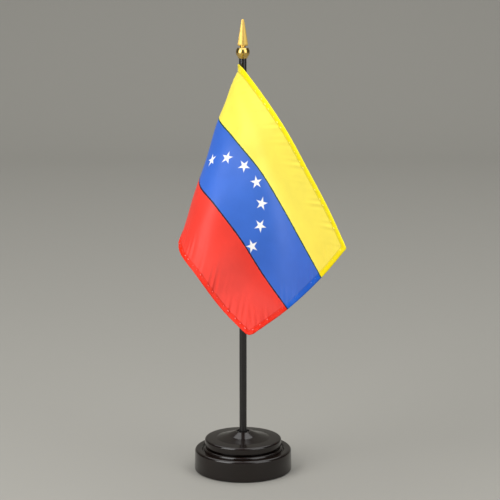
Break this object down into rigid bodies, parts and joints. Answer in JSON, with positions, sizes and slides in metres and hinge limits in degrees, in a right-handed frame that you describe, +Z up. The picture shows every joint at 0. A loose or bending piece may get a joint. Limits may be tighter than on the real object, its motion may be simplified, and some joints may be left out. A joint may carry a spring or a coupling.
{
  "type": "desk flag stand",
  "caption": "Small cloth flag in three horizontal stripes with an arc of stars, hanging from a slim black staff with a gilt spear finial in a two-tier round base.",
  "frame": {"origin": "centre of the base's underside, on the surface the stand rests on", "axes": "+Z up along the staff, -Y towards the viewer that the flag hangs forward to, +X to that viewer's right"},
  "size_m": [0.0995, 0.1388, 0.2913],
  "materials": {
    "base_plastic": "moulded, high gloss, very dark brown",
    "ballast_steel": "plain punched steel",
    "cover_board": "plain",
    "pad_felt": "felt",
    "bush_vinyl": "soft, matt",
    "staff_lacquer": "gloss black",
    "gilt_bright": "mirror gilt",
    "gilt_satin": "satin gilt",
    "flag_cloth": "printed satin-weave polyester in yellow, blue and red stripes with white stars",
    "thread": "sewing thread"
  },
  "bodies": {
    "base": {"base_drum": "base_plastic", "top_disc": "base_plastic", "ballast_ring": "ballast_steel", "base_cover": "cover_board", "felt_pad": "pad_felt"},
    "bush": {"staff_bush": "bush_vinyl"},
    "staff": {"staff": "staff_lacquer", "finial_ball": "gilt_bright", "finial_spear": "gilt_satin", "flag_sleeve": "flag_cloth"},
    "flag": {"flag_panel": "flag_cloth", "thread_sleeve": "thread", "thread_top_hem": "thread", "thread_fly_hem": "thread", "thread_bottom_hem": "thread"}
  },
  "joints": [
    {"name": "staff_turn", "type": "hinge", "parent": "base", "child": "bush", "pos_m": [0, 0, 0.01], "axis": [0, 0, 1], "continuous": true},
    {"name": "staff_lift", "type": "slide", "parent": "bush", "child": "staff", "axis": [0, 0, 1], "range_m": [0, 0.03]},
    {"name": "flag_swing", "type": "hinge", "parent": "staff", "child": "flag", "pos_m": [-0.0026, -0.0036, 0.2128], "axis": [0, 0, 1], "range_deg": [-45, 45]}
  ]
}
